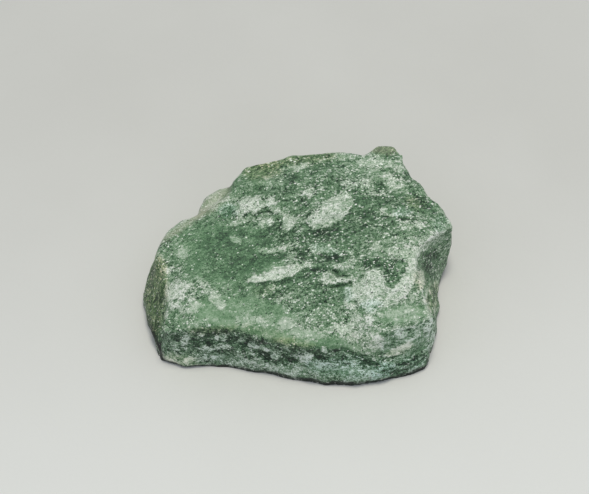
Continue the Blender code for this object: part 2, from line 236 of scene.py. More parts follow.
# Clear deep green places and pits, given as the whitened ones are. Those named under, below or shade are
# painted shadow under steps and in notches and corners.
DARK = {
    "notch_shade": (232, 187, 6, 5, 30, .45, .3),
    "under_hatched": (284, 256, 17, 3, 10, .5, .3),
    "under_oval": (333, 228, 20, 4, 22, .5, .4),
    "dark_right_core": (362, 213, 6, 5, 0, .35, .3),
    "under_streak": (284, 282, 20, 3, 14, .55, .25),
    "below_streak": (310, 274, 8, 7, 0, .5, .3),
    "under_inner": (341, 285, 12, 1.8, 12, .9, .12, -.3),
    "curl": (375, 306, 9, 1.6, 15, .6, .15, -.1),
    "notch": (384, 297, 3, 3, 0, .5, .15, -.1),
    "dot": (354, 303, 3, 3, 0, .7, .15, -.15),
    "far_specks": (382, 185, 8, 5, -30, .5, .25),
    "thin_dark_right": (405, 218, 7, 1.8, -10, .85, .12, -.15),
    "far_right": (420, 200, 14, 5, -35, .35, .4),
    "green_window": (196, 296, 8, 4, 5, .3, .25),
    "left_dots": (177, 256, 5, 2, -60, .6, .15),
    "edge_specks": (393, 170, 8, 4, -20, .45, .25),
    "deep_a": (209, 342, 6, 5, 0, .55, .2, -.1),
    "deep_b": (245, 342, 6, 3.5, -10, .5, .15, -.1),
    "deep_c": (262, 355, 11, 4.5, -20, .9, .15, -.15),
    "deep_d": (290, 359, 10, 5, -25, .9, .15, -.15),
    "deep_e": (321, 357, 9, 4.5, -10, .85, .15, -.12),
    "deep_f": (339, 354, 8, 3.5, -25, .65, .2, -.1),
    "deep_slant": (360, 357, 20, 3, -27, .75, .2, -.15),
    "band_left": (195, 336, 26, 4.5, 5, .6, .5),
    "band_middle": (240, 339, 30, 5, -8, .6, .5),
    "band_right": (300, 351, 30, 4.5, -8, .6, .5),
    "facet_shade": (405, 360, 20, 6, 12, .55, .3),
    "facet_green": (392, 338, 6, 6, 0, .45, .3),
    "slanting_pit": (214, 301.5, 1.7, 1.7, 0, 1.0, .08, -.16),
    "face_green": (431, 254, 9, 8, 30, .7, .3),
    "face_green_low": (428, 268, 8, 5, -60, .75, .2),
    "face_brown": (434, 296, 11, 4, 80, .6, .25),
    "face_dark_edge": (429, 300, 5, 2, -75, .8, .12, -.08),
    "tablet_shade": (427, 281, 9, 1.3, 95, .75, .12, -.08),
    "inner_green": (404, 272, 6, 5, -30, .4, .25),
    "deep_g": (281, 363, 7, 3.5, -20, .85, .2, -.1),
}
# Larger deep places, sunk in. The long bar's and the black pit's darkness is partly their own deep green
# and partly painted shade under a step.
DARK_OUTLINES = {
    "long_bar": (.75, .18, -.12, ((362, 262), (370, 259), (381, 261), (390, 258), (400, 257), (408, 257),
        (407, 262), (398, 263), (388, 265), (381, 268), (372, 269), (363, 271))),
    "green_wedge": (.65, .15, -.12, ((383, 266), (390, 267), (398, 267), (398, 273), (394, 280),
        (391, 287), (387, 286), (385, 279), (383, 272))),
    "black_pit": (.8, .22, -.16, ((288, 250), (296, 248), (303, 250), (307, 254), (304, 259), (298, 259),
        (292, 256))),
    "upper_gully": (.7, .22, -.14, ((318, 253), (326, 252), (334, 255), (345, 253), (350, 258),
        (343, 261), (336, 262), (330, 259), (322, 258))),
    "lower_gully": (.55, .2, -.14, ((313, 268), (322, 265), (330, 267), (338, 270), (346, 274),
        (348, 277), (340, 276), (332, 274), (322, 272), (315, 272))),
}
# Narrow open seams: half width and depth in millimetres, how dark they are, and their points. The arch
# seam's darkness is painted shade under a step, in a groove that is also cut in.
SEAMS = {
    "arch_seam": (.24, .12, .9, ((249, 220), (254, 215), (260, 212), (267, 211), (273, 213), (278, 218),
        (281, 227))),
    "slanting_crack": (.14, .06, .5, ((207, 299), (214, 308))),
}
# Olive places, below nought, and minty ones, above it.
TINTS = {
    "ridge_olive_left": (265, 334, 28, 5, -12, -.3, .5),
    "ridge_olive_right": (294, 344, 18, 3, -10, -.6, .4),
    "ridge_brown": (212, 330, 22, 3, 3, -.6, .4),
    "column_olive": (414, 292, 18, 7, -75, -.2, .6),
    "far_olive": (262, 171, 18, 8, 8, -.6, .6),
    "far_edge_olive": (295, 160, 40, 4, 6, -.6, .5),
    "right_olive": (414, 203, 9, 5, -20, -.45, .5),
    "tongue_olive": (362, 343, 14, 8, -10, -.12, .6),
    "bench_olive": (265, 290, 12, 5, 10, -.3, .6),
    "gully_mint": (228, 211, 8, 6, 0, .8, .5),
    "haze_mint": (403, 212, 9, 4, 0, .6, .4),
    "corner_mint": (440, 224, 7, 8, 0, .5, .5),
    "broad_mint": (347, 294, 5, 7, 0, .5, .4),
    "low_tint_mint": (372, 305, 10, 5, 0, .5, .4),
    "middle_mint": (325, 250, 16, 5, -20, .4, .5),
    "front_cool": (270, 358, 90, 12, -5, .06, .6),
    "foot_cool": (214, 357, 12, 6, 0, .25, .4),
    "foot_warm": (178, 360, 20, 6, -6, -.45, .4),
    "tablet_olive": (421, 280, 9, 5, 95, -.35, .4),
    "left_face_olive": (152, 305, 48, 11, 82, -.9, .6),
    "face_brown_olive": (434, 296, 14, 6, 80, -.5, .5),
    "wedge_olive": (399, 350, 14, 4, 18, -.4, .3),
    "knob_olive": (386, 149, 16, 4, 0, -.55, .3),
    "foot_right_mint": (350, 367, 42, 10, -3, .55, .6),
    "broad_teal": (385, 300, 34, 26, 0, .12, 1.0),
    "facet_teal": (400, 366, 26, 6, 12, .5, .5),
    "right_warm": (400, 215, 50, 44, -20, -.08, 1.0),
}
# Broad places that are lighter or darker than the rest, with soft edges. Those named glow are painted
# light, and those named shade are painted shade, the limb shades along the outline among them.
TONES_AND_PAINTED_LIGHT = {
    "clear_green": (232, 256, 38, 26, 0, -.08, 1.2),
    "left_hollow": (272, 236, 20, 8, 0, -.1, .8),
    "middle_green": (322, 236, 24, 9, 0, -.08, .8),
    "right_green": (376, 205, 36, 16, 5, -.1, .8),
    "inner_green": (330, 297, 22, 7, 18, -.06, .8),
    "bench_glow": (250, 310, 52, 13, -6, .085, 1.5),
    "bench_glow_right": (318, 322, 34, 10, -10, .08, 1.2),
    "slanting_glow": (220, 290, 9, 9, 0, .06, .8),
    "far_glow": (376, 168, 26, 12, 0, .1, 1.0),
    "far_right_glow": (398, 186, 22, 12, -30, .09, 1.0),
    "corner_glow": (438, 222, 10, 12, 60, .12, .8),
    "column_glow": (412, 292, 26, 9, -80, .12, 1.0),
    "shoulder_glow": (402, 243, 32, 9, 8, .09, 1.0),
    "tongue_glow": (360, 340, 22, 12, -20, .19, .8),
    "scoop_shade": (433, 265, 22, 8, 80, -.05, .6),
    "low_right_glow": (386, 316, 42, 13, -5, .09, 1.2),
    "low_glow_edge": (422, 332, 16, 7, 10, .06, .8),
    "left_shade": (225, 240, 60, 26, 20, -.03, 1.5),
    "upper_shade": (320, 185, 28, 12, -15, -.05, 1.0),
    "ledge_glow": (214, 199, 18, 9, 35, .14, .8),
    "middle_left_shade": (262, 280, 34, 30, 10, -.03, 1.5),
    "left_bench_glow": (195, 318, 24, 9, 0, .06, 1.0),
    "foot_light": (190, 360, 35, 7, 0, .08, .8),
    "foot_light_middle": (250, 365, 40, 5, -8, .1, .6),
    "foot_light_right": (325, 371, 54, 9, -3, .27, .8),
    "facet_light": (405, 342, 30, 12, 5, .235, 1.0),
    "deep_left_tone": (172, 341, 9, 6, -20, -.06, .6),
    "band_tone": (250, 343, 60, 7, -8, -.05, .8),
    "left_face": (152, 308, 46, 12, 82, -.18, .6),
    "face_lift": (436, 250, 14, 9, 60, .02, .8),
    "foot_light_far": (385, 368, 26, 7, 8, .08, .8),
    "ridge_glow": (288, 340, 26, 8, -10, .14, .8),
    "left_ridge_glow": (216, 325, 22, 8, 0, .1, .8),
    "right_edge_glow": (432, 236, 16, 8, 35, .08, .8),
    "lower_middle_glow": (318, 306, 22, 6, 5, .07, .8),
    "left_glow": (180, 262, 26, 18, 25, .05, 1.0),
    "streak_bright": (272, 275, 22, 4, 18, .14, .5),
    "streak_upper": (283, 258, 16, 5, 22, -.03, .6),
    "foot_light_corner": (174, 360, 16, 5, -14, .1, .5),
    "facet_lip": (368, 328, 22, 6, -30, .1, .7),
    "tablet_light": (424, 288, 20, 4, 95, .12, .5),
    "bar_light": (392, 264, 14, 5, -5, .13, .5),
    "far_line_light": (390, 213, 12, 3.5, 0, .18, .4),
    "far_dark_spot": (358, 189, 5, 4, 0, -.12, .4),
    "beside_oval": (306, 208, 6, 9, 20, -.1, .5),
    "above_chip": (318, 288, 16, 4, 18, -.08, .5),
    "below_streak_shade": (258, 283, 18, 3, 0, -.07, .4),
    "foot_spot": (278, 363, 6, 4, -20, -.12, .4),
    "band_gap": (237, 208, 6, 5, 30, -.2, .4),
    "bench_spot": (343, 331, 6, 5, 0, -.1, .4),
    "left_patch_glow": (176, 290, 12, 12, 0, .06, .8),
    "far_edge_glow": (396, 178, 9, 12, 50, .06, .8),
    "top_edge_shade": (312, 160, 16, 4, 0, -.06, .5),
    "lip_left": (214, 330, 22, 3.5, 3, -.05, .35),
    "lip_right": (290, 344.5, 20, 3, -12, -.05, .35),
    "facet_corner": (393, 366, 18, 4, 10, -.14, .4),
    "rim_line_right": (397, 329, 17, 1.5, 10, .05, .2),
    "knob_shade": (385, 150, 16, 5, 0, -.12, .5),
    "dark_middle": (330, 262, 22, 6, 10, -.04, .6),
    "below_oval": (325, 237, 24, 8, 10, -.07, .6),
    "broad_left_glow": (342, 291, 9, 8, 0, .09, .6),
    "bench_middle_shade": (274, 315, 20, 10, -10, -.08, .8),
    "inner_shade": (318, 291, 18, 6, 15, -.1, .7),
    "right_green_low": (364, 230, 18, 8, 10, -.08, .7),
    "knob_low_shade": (390, 178, 14, 7, 5, -.09, .6),
    "knob_foot_glow": (372, 169, 10, 4, 5, .08, .5),
    "far_edge_shade": (410, 176, 7, 7, -50, -.14, .5),
    "shoulder_rim_glow": (436, 244, 12, 5, 25, .1, .6),
    "column_edge_glow": (429, 302, 28, 3.5, -85, .16, .4),
    "right_limb_shade": (440, 288, 16, 2.5, 82, -.16, .3),
    "left_limb_shade": (147, 272, 18, 4, 72, -.12, .4),
    "left_corner_shade": (164, 250, 9, 8, 40, -.07, .6),
    "window_glow": (201, 289, 7, 6, 0, .08, .5),
    "left_patch_low": (177, 310, 8, 5, 0, .08, .5),
    "corner_lift": (414, 357, 9, 5, 20, .1, .5),
    "far_lift": (399, 190, 9, 5, -20, .11, .5),
    "face_top_lift": (428, 250, 10, 5, 30, .12, .5),
    "low_lift_a": (364, 325, 16, 6, -20, .09, .6),
    "low_lift_b": (409, 323, 15, 5, 5, .11, .6),
    "low_lift_c": (430, 333, 10, 4, 85, .12, .4),
    "foot_lift": (236, 361, 9, 3.5, 0, .1, .4),
    "flake_foot_shade": (292, 228, 12, 4, -5, -.12, .4),
    "upper_left_shade": (294, 186, 9, 7, 0, -.09, .6),
    "gully_shade": (320, 260, 18, 4, 15, -.1, .4),
    "shoulder_gap": (382, 248, 14, 5, 0, -.08, .5),
    "arm_shade": (409, 279, 10, 4, -70, -.09, .4),
    "foot_shade_a": (253, 357, 8, 4, -10, -.1, .4),
    "foot_shade_b": (222, 346, 16, 3, 0, -.07, .4),
    "foot_shade_c": (184, 358, 7, 4, 0, -.08, .4),
    "foot_shade_d": (299, 361, 7, 4, 0, -.08, .4),
    "spot_a": (358, 189, 5, 5, 0, -.1, .4),
    "upper_streak_shade": (283, 262, 6, 4, 20, -.1, .3),
    "fleck_lift": (259, 230, 5, 3, 20, .1, .4),
    "flake_tail_shade": (274, 230, 6, 6, 30, -.1, .4),
    "facet_rim_trim": (396, 330, 9, 4, 10, -.12, .3),
    "low_left_trim": (356, 314, 5, 7, 30, -.1, .4),
    "broad_lift": (375, 290, 22, 16, 10, .01, .8),
    "far_limb_shade": (424, 206, 38, 2.5, -54, -.13, .3),
    "right_limb_upper_shade": (449, 262, 20, 2.5, 84, -.13, .3),
}
# Clear smooth places: how calm they are, and how soft their edge is.
CALM = {
    "clear_green": (229, 256, 58, 36, -15, .65, 1.5),
    "bench": (243, 314, 54, 17, -6, 1.0, .8),
    "ridge": (300, 337, 62, 9, -10, .8, .7),
    "low_right": (400, 314, 28, 10, 3, .8, .8),
    "foot_right": (325, 372, 54, 7, -3, .4, .5),
    "foot_left": (176, 359, 22, 7, -6, .7, .5),
    "top_left": (245, 190, 34, 14, 20, .45, 1.0),
    "facet": (405, 345, 24, 15, 12, .7, .8),
}
# Places where crystal faces gather: painted highlights of glints crowd there, and so do bright and dark
# specks.
GLITTER = {
    "far_corner": (421, 226, 9, 6, -25, 1.0, .6),
    "short_dash": (396, 219, 16, 5, 5, .8, .6),
    "far_white": (358, 185, 18, 7, 5, .8, .6),
    "far_line": (384, 193, 14, 5, -20, .8, .6),
    "far_edge": (398, 172, 9, 10, -45, .7, .6),
    "upper_fleck": (306, 194, 12, 7, 20, .6, .6),
    "black_pit": (303, 257, 18, 7, 10, 1.0, .6),
    "gully": (334, 263, 24, 8, 10, .9, .6),
    "long_bar": (388, 262, 26, 6, 0, .9, .6),
    "wedge": (388, 278, 8, 10, 0, .7, .6),
    "middle": (316, 236, 26, 8, 10, .5, .6),
    "bench": (318, 306, 34, 8, 5, .6, .6),
    "low_right": (350, 318, 18, 8, 0, .5, .6),
    "notch": (240, 203, 14, 6, 0, .5, .6),
    "right_face": (432, 262, 10, 12, 60, .4, .6),
}
# Beige places: the knob is beige, and the thin ledge and rim are painted light, glowing through the stone.
BEIGE_AND_GLOW = {
    "knob": (386, 149, 15, 5, 0, .3, .6),
    "ledge": (212, 201, 24, 8, 42, .45, .7),
    "rim": (183, 226, 30, 3, 33, .45, .6),
}


def layer_place(point):
    """A point's distances along the layers, across them on the bedding, and through them."""
    return Vector((point.dot(LAYER_LENGTH), point.dot(LAYER_WIDTH), point.dot(LAYER_NORMAL)))


def ramp(low, high, values):
    """Smooth rise from 0 at low to 1 at high; it falls where high is under low."""
    t = np.clip((values - low) / (high - low), 0.0, 1.0)
    return t * t * (3.0 - 2.0 * t)


def sampled(places, function):
    """function worked out at each place, as an array."""
    return np.array([function(p) for p in places])


def camera_frame():
    """The camera's place and its directions to the right, up and back."""
    height = math.radians(CAMERA_HEIGHT)
    back = Vector((0.0, -math.cos(height), math.sin(height)))
    up = Vector((0.0, math.sin(height), math.cos(height)))
    return Vector(AIM) + back * CAMERA_DISTANCE, Vector((1.0, 0.0, 0.0)), up, back


def in_picture(points):
    """Where points show in the camera's picture: pixels from its left side and from its top."""
    eye, right, up, back = (np.array(v) for v in camera_frame())
    apart = points - eye
    scale = -LENS / SENSOR * PICTURE_WIDTH / (apart @ back)
    return PICTURE_WIDTH / 2 + apart @ right * scale, PICTURE_HEIGHT / 2 - apart @ up * scale


def placed(name, data):
    """A new object in the scene."""
    made = bpy.data.objects.new(name, data)
    bpy.context.scene.collection.objects.link(made)
    return made


# ---------------------------------------------------------------- the finely cut stone
def fine_copy(node):
    """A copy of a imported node's mesh, joined where its corners meet, rounded a little and cut evenly."""
    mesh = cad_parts[node].data.copy()
    mesh.materials.clear()
    bm = bmesh.new()
    bm.from_mesh(mesh)
    bmesh.ops.remove_doubles(bm, verts=bm.verts, dist=1e-6)
    bm.to_mesh(mesh)
    bm.free()
    rough = placed("fine_cut", mesh)
    rounded = rough.modifiers.new("rounded", "SUBSURF")
    rounded.levels = 1
    rounded.render_levels = 1
    even = rough.modifiers.new("even", "REMESH")
    even.mode = "VOXEL"
    even.voxel_size = GRAIN * MM
    even.use_smooth_shade = True
    soft = rough.modifiers.new("soft", "SMOOTH")
    soft.factor = 0.5
    soft.iterations = 2
    bpy.context.view_layer.update()
    made = bpy.data.meshes.new_from_object(rough.evaluated_get(bpy.context.evaluated_depsgraph_get()))
    bpy.data.objects.remove(rough)
    return made


def read(items, what, width, kind=float):
    """What each of a mesh's items holds, as the rows of an array."""
    values = np.zeros(len(items) * width, dtype=kind)
    items.foreach_get(what, values)
    return values.reshape(-1, width)


class Surface:
    """The stone's points and normals in millimetres, and which points neighbour which."""

    def __init__(self, mesh):
        self.mesh = mesh
        self.points = read(mesh.vertices, "co", 3) / MM
        first, second = read(mesh.edges, "vertices", 2, np.int64).T
        self.start = np.concatenate((first, second))
        self.end = np.concatenate((second, first))
        self.neighbours = np.bincount(self.start, minlength=len(self.points))
        self.normals = self.facing()

    def facing(self):
        """The normals of the mesh as it stands."""
        self.mesh.update()
        return read(self.mesh.vertices, "normal", 3)

    def spread(self, values, times):
        """Values averaged with their neighbours, so many times over."""
        columns = np.atleast_2d(values.T)
        for _ in range(times):
            columns = np.array([(c + np.bincount(self.start, c[self.end], len(c))) / (self.neighbours + 1)
                                for c in columns])
        return columns.T if values.ndim > 1 else columns[0]

    def write(self):
        """The points put back on the mesh."""
        self.mesh.vertices.foreach_set("co", (self.points * MM).ravel())
        self.normals = self.facing()

    def keep(self, name, values):
        """Values stored on the mesh under a name, for the material."""
        layer = self.mesh.attributes.new(name, "FLOAT", "POINT")
        layer.data.foreach_set("value", values.astype(np.float32))


def oval(u, v, mark):
    """How far inside an oval each point lies, in millimetres (negative outside), and how far across it the
    point lies, from -1 at the near side to 1 at the far one."""
    x, y, long_half, short_half, turn = mark[:5]
    angle = math.radians(turn)
    along = (u - x) * math.cos(angle) + (y - v) * math.sin(angle)
    across = (y - v) * math.cos(angle) - (u - x) * math.sin(angle)
    reach = np.sqrt((along / long_half) ** 2 + (across / short_half) ** 2) + 1e-6
    steepness = np.sqrt((along / long_half ** 2) ** 2 + (across / short_half ** 2) ** 2) / reach + 1e-6
    return np.clip((1.0 - reach) / steepness * MM_PER_PIXEL, -FAR, FAR), across / short_half


def off_edge(u, v, start, end):
    """How far each point lies from the nearest place on an edge, in pixels: leftwards and downwards."""
    (ax, ay), (bx, by) = start, end
    span = (bx - ax) ** 2 + (by - ay) ** 2
    t = np.clip(((u - ax) * (bx - ax) + (v - ay) * (by - ay)) / span, 0.0, 1.0)
    return ax + t * (bx - ax) - u, v - ay - t * (by - ay)


def outline(u, v, points):
    """How far inside an outline each point lies, in millimetres. Also where its nearest edge is, from -1
    nearer to 1 farther, and how far across the outline it lies, from 0 at the near side to 1 at the far."""
    nearest = np.full(len(u), 1e9)
    beyond = np.zeros(len(u))
    within = np.zeros(len(u), dtype=bool)
    for (ax, ay), (bx, by) in zip(points, points[1:] + points[:1]):
        aside, ahead = off_edge(u, v, (ax, ay), (bx, by))
        distance = np.hypot(aside, ahead)
        beyond = np.where(distance < nearest, ahead / (distance + 1e-6), beyond)
        nearest = np.minimum(nearest, distance)
        if ay != by:
            within ^= ((ay > v) != (by > v)) & (u < ax + (v - ay) * (bx - ax) / (by - ay))
    reach = np.where(within, nearest, -nearest) * MM_PER_PIXEL
    lowest, highest = max(point[1] for point in points), min(point[1] for point in points)
    return np.clip(reach, -FAR, FAR), np.where(within, beyond, -beyond), (lowest - v) / (lowest - highest)


def seam(u, v, points, half_width):
    """How far inside a narrow seam along the points each place lies, in millimetres."""
    nearest = np.min([np.hypot(*off_edge(u, v, *edge)) for edge in zip(points, points[1:])], axis=0)
    return np.clip(half_width - nearest * MM_PER_PIXEL, -FAR, FAR)


class Marks:
    """Everything that one kind of mark does at each point: the leading mark's reach, strength and softness,
    and how far the surface is lifted."""

    def __init__(self, count):
        self.reach = np.full(count, -FAR)
        self.strength = np.zeros(count)
        self.soft = np.full(count, 0.3)
        self.lead = np.zeros(count)
        self.lift = np.zeros(count)

    def add(self, inside, soft, strength, shown, lift=0.0):
        """Lays one mark down where it is shown. The mark that tells most at a point leads there."""
        inside = inside - FAR * (1.0 - shown)
        telling = strength * ramp(-1.6, 1.0, inside / soft)
        leads = telling > self.lead
        self.lead = np.where(leads, telling, self.lead)
        self.reach = np.where(leads, inside, self.reach)
        self.soft = np.where(leads, soft, self.soft)
        self.strength = np.where(leads, strength, self.strength)
        self.lift += lift * ramp(-1.0, 1.0, inside / np.minimum(soft, 0.25))

    def add_ovals(self, u, v, marks, ragged, shown):
        """Ovals, feathered at the far side. A proud one is a wedge, thickest at the near side."""
        for mark in marks.values():
            inside, across = oval(u, v, mark)
            strength, soft = mark[5:7]
            lift = mark[7] if len(mark) > 7 else 0.0
            wander = ragged * min(1.0, 0.2 + 0.5 * mark[3] * MM_PER_PIXEL)
            thick = ramp(1.0, -0.8, across) if lift > 0 else 1.0
            feathered = soft * (1.0 + FEATHER * ramp(-0.2, 0.9, across))
            self.add(inside + wander, feathered, strength, shown, lift * thick)

    def add_outlines(self, u, v, marks, ragged, shown):
        """Outlines, feathered and wedged as the ovals are."""
        for strength, soft, lift, points in marks.values():
            inside, beyond, across = outline(u, v, points)
            thick = ramp(1.0, 0.1, across) if lift > 0 else 1.0
            feathered = soft * (1.0 + FEATHER * ramp(-0.1, 0.9, beyond))
            self.add(inside + 0.5 * ragged, feathered, strength, shown, lift * thick)


def scar(point, size):
    """A shell-shaped scar's height at a point, about nought, over pieces of one size."""
    wander = 0.3 * size
    place = point / size
    bent = Vector((noise.noise(place * 0.8), noise.noise(place * 0.8 + Vector((31.0, 7.0, 3.0))),
                   noise.noise(place * 0.8 + Vector((5.0, 47.0, 11.0)))))
    here = layer_place(point + bent * wander)
    stretched = Vector((here.x * 0.55, here.y * 0.9, here.z * 1.25)) / size
    nearest = noise.voronoi(stretched)[0][0]
    return nearest * nearest - 0.25


def drawn_out(point, along, through):
    """A point's place in the layers, in units that are long along them and short through them."""
    here = layer_place(point)
    return Vector((here.x / along, here.y / through, here.z / through))


def lay_marks(u, v, places, ragged, seen):
    """The pale and the dark marks at each point: named ones where the camera sees it, and on the back, the
    ends and the underside the same kinds of mark, strewn along the layers."""
    pale, dark = Marks(len(u)), Marks(len(u))
    pale.add_ovals(u, v, PALE, ragged, seen)
    pale.add_outlines(u, v, PALE_OUTLINES, ragged, seen)
    dark.add_ovals(u, v, DARK, ragged, seen)
    dark.add_outlines(u, v, DARK_OUTLINES, ragged, seen)
    for half_width, depth, darkness, points in SEAMS.values():
        dark.add(seam(u, v, points, half_width) + 0.7 * ragged, 0.12, darkness, seen, -depth)
    strewn = sampled(places, lambda q: noise.noise(drawn_out(q, 4.2, 2.3) + Vector((2.0, 6.0, 4.0))))
    pale.add(3.2 * (strewn - 0.17) + ragged, 0.25, 0.70, 1.0 - seen, 0.06)
    dark.add(3.2 * (-strewn - 0.20) + ragged, 0.35, 0.55, 1.0 - seen, -0.08)
    return pale, dark


def fine_relief(places):
    """The height of scars, layer edges and grain at each point, in millimetres."""
    scars = sampled(places, lambda q: scar(q, FINE_SCAR))
    layered = sampled(places, lambda q: q.dot(LAYER_NORMAL) + 0.55 * noise.noise(q / 2.6)
                      + 0.16 * noise.noise(q / 0.7))
    t = layered / LAYER_SPACING
    sawtooth = t - np.floor(t)
    sawtooth = sawtooth * ramp(1.0, 0.82, sawtooth) - 0.4
    where = sampled(places, lambda q: noise.noise(layer_place(q) / 3.4 + Vector((3.0, 8.0, 1.0))))
    steps = LAYER_RISE * sawtooth * ramp(-0.1, 0.35, where)
    grain = sampled(places, lambda q: noise.fractal(layer_place(q) / ROUGH_GRAIN, 0.9, 2.1, 2))
    return FINE_SCAR_DEPTH * scars + steps + ROUGH_DEPTH * grain


def turn_foot(stone, u, z, broad):
    """Turns the stone's foot down to the table at once and lets it stand out. Gives how dark it is painted
    as shadow.
    """
    down = stone.normals[:, 2]
    turned_under = ramp(-0.2, -0.5, down) * ramp(*FOOT_HEIGHTS, z)
    outward = broad[:, :2] / (np.linalg.norm(broad[:, :2], axis=1)[:, None] + 1e-6)
    at_toe = turned_under * ramp(-0.98, -0.9, down) * np.interp(u, *np.array(FOOT_LINE).T)
    stone.points[:, :2] += at_toe[:, None] * outward
    stone.points[:, 2] = np.maximum(stone.points[:, 2] * (1.0 - turned_under), 0.0)
    return ramp(-0.05, -0.3, down) * ramp(*FOOT_HEIGHTS, z)


def work(stone):
    """Cuts the stone's fine relief and stores its marks, tints and faces for the material."""
    p = stone.points
    z = p[:, 2]
    u, v = in_picture(p)
    places = [Vector(row) for row in p]
    broad = stone.spread(stone.normals, 16)
    broad /= np.linalg.norm(broad, axis=1)[:, None]
    under = ramp(-0.35, -0.7, broad[:, 2])
    seen = ramp(-0.05, 0.1, broad @ np.array(camera_frame()[3]))

    # Wandering at two sizes, drawn out along the layers, in millimetres.
    coarse = sampled(places, lambda q: noise.noise(drawn_out(q, 1.9, 0.9)))
    fine = sampled(places, lambda q: noise.noise(drawn_out(q, 0.8, 0.38) + Vector((9.0, 2.0, 5.0))))
    ragged = 0.75 * coarse + 0.55 * fine

    # The front lies below the ridge.
    below = (v - np.interp(u, *np.array(RIDGE).T)) * MM_PER_PIXEL
    front = ramp(-0.15, 0.35, below + 0.35 * coarse) * seen * ramp(0.75, 0.55, broad[:, 2])

    pale, dark = lay_marks(u, v, places, ragged, seen)

    def covered(marks, ragged_edge, start):
        """What a list of ovals adds up to: each one's value where it lies, fading over its softness."""
        total = np.zeros(len(p))
        for mark in marks.values():
            inside = oval(u, v, mark)[0] + ragged_edge * ragged
            total += mark[5] * seen * ramp(start, 1.0, inside / mark[6])
        return total

    # Clear smooth places are hardly worked.
    calm = np.clip(covered(CALM, 0.5, -1.0), 0.0, 1.0)
    height = pale.lift + dark.lift + (1.0 - 0.75 * calm) * fine_relief(places)
    height *= (1.0 - 0.85 * under) * ramp(0.0, 0.7, z)
    swell = LOW_SWELL * ramp(*SWELL_SETS_IN, u) * ramp(*SWELL_ENDS, u) * ramp(*SWELL_FADES, z) * front
    height += swell * ramp(-0.6, 0.0, stone.normals[:, 2])
    stone.points = p + stone.normals * height[:, None]
    # The darkness at the foot and at the left toe is painted shadow under the stone.
    foot = turn_foot(stone, u, z, broad)
    left_toe_shadow = ramp(*TOE_ACROSS, u) * ramp(*TOE_DOWN, v) * seen
    foot = np.maximum(foot, ramp(*TOE_HEIGHTS, z + 1.2 * coarse) * left_toe_shadow)
    stone.write()

    # Hollows and crests of the worked surface, fine and broad.
    bend = ((stone.spread(stone.points, 1) - stone.points) * stone.normals).sum(axis=1)
    wide_bend = ((stone.spread(stone.points, 10) - stone.points) * stone.normals).sum(axis=1)
    hollow = np.clip(0.5 + 9.0 * stone.spread(bend, 1) + 2.5 * wide_bend, 0.0, 1.0)

    for name, marks in (("pale", pale), ("dark", dark)):
        stone.keep(name + " reach", stone.spread(marks.reach, 1))
        stone.keep(name + " strength", stone.spread(marks.strength, 2))
        stone.keep(name + " softness", stone.spread(marks.soft, 2))
    kept = {"calm": calm, "hollow": hollow, "front": front, "foot": foot, "tone": covered(TONES_AND_PAINTED_LIGHT, 0.8, -1.0),
            "tint": np.clip(covered(TINTS, 0.6, -2.0), -1.0, 1.0), "beige": covered(BEIGE_AND_GLOW, 0.4, -1.0),
            "glitter": covered(GLITTER, 0.8, -1.0)}
    for name, values in kept.items():
        stone.keep(name, values)


# ---------------------------------------------------------------- materials
class Nodes:
    """Adds nodes to a tree in the order in which they are worked out, and links them."""

    def __init__(self, tree):
        self.tree = tree
        self.column = 0

    def add(self, kind, settings=None, **inputs):
        """A shader node of a kind, with its settings and the values or links of its inputs."""
        node = self.tree.nodes.new("ShaderNode" + kind)
        node.location = (self.column * 40.0, -(self.column % 5) * 180.0)
        self.column += 1
        for key, value in (settings or {}).items():
            setattr(node, key, value)
        for key, value in inputs.items():
            self.put(node.inputs[key.replace("_", " ")], value)
        return node

    def put(self, socket, value):
        if isinstance(value, bpy.types.NodeSocket):
            self.tree.links.new(value, socket)
        else:
            socket.default_value = value

    def math(self, operation, first, second=0.0, third=None, clamp=False):
        node = self.add("Math", {"operation": operation, "use_clamp": clamp})
        self.put(node.inputs[0], first)
        self.put(node.inputs[1], second)
        if third is not None:
            self.put(node.inputs[2], third)
        return node.outputs[0]

    def times(self, first, second):
        return self.math("MULTIPLY", first, second)

    def total(self, start, *parts):
        """start plus each value times its weight."""
        for value, weight in parts:
            start = self.math("MULTIPLY_ADD", value, weight, start)
        return start

    def vector(self, operation, first, second=None):
        node = self.add("VectorMath", {"operation": operation})
        self.put(node.inputs[0], first)
        if second is not None:
            self.put(node.inputs["Scale" if operation == "SCALE" else 1], second)
        return node.outputs["Value" if operation in ("DOT_PRODUCT", "LENGTH") else "Vector"]

    def rise(self, value, low, high, to_low=0.0, to_high=1.0):
        node = self.add("MapRange", {"interpolation_type": "SMOOTHSTEP"},
                        Value=value, From_Min=low, From_Max=high, To_Min=to_low, To_Max=to_high)
        return node.outputs["Result"]

    def blend(self, factor, first, second, kind="MIX"):
        node = self.add("Mix", {"data_type": "RGBA", "blend_type": kind})
        self.put(node.inputs["Factor"], factor)
        self.put(node.inputs[6], first)
        self.put(node.inputs[7], second)
        return node.outputs[2]

    def stored(self, name):
        return self.add("Attribute", {"attribute_name": name}).outputs["Fac"]

    def use(self, tree, **inputs):
        """A node group placed with its own values."""
        node = self.add("Group")
        node.node_tree = tree
        for key, value in inputs.items():
            self.put(node.inputs[key.replace("_", " ")], value)
        return node.outputs


def new_group(name, inputs, outputs):
    """An empty node group, its Nodes helper and its inputs. An input without a value is a vector."""
    tree = bpy.data.node_groups.new(name, "ShaderNodeTree")
    for label, value in inputs.items():
        kind = "NodeSocketVector" if value is None else "NodeSocketFloat"
        socket = tree.interface.new_socket(label, in_out="INPUT", socket_type=kind)
        if value is not None:
            socket.default_value = value
    for label in outputs:
        tree.interface.new_socket(label, in_out="OUTPUT", socket_type="NodeSocketFloat")
    return tree, Nodes(tree), tree.nodes.new("NodeGroupInput").outputs


def finish_group(tree, make, **values):
    out = tree.nodes.new("NodeGroupOutput")
    for label, value in values.items():
        make.put(out.inputs[label.replace("_", " ")], value)
    return tree


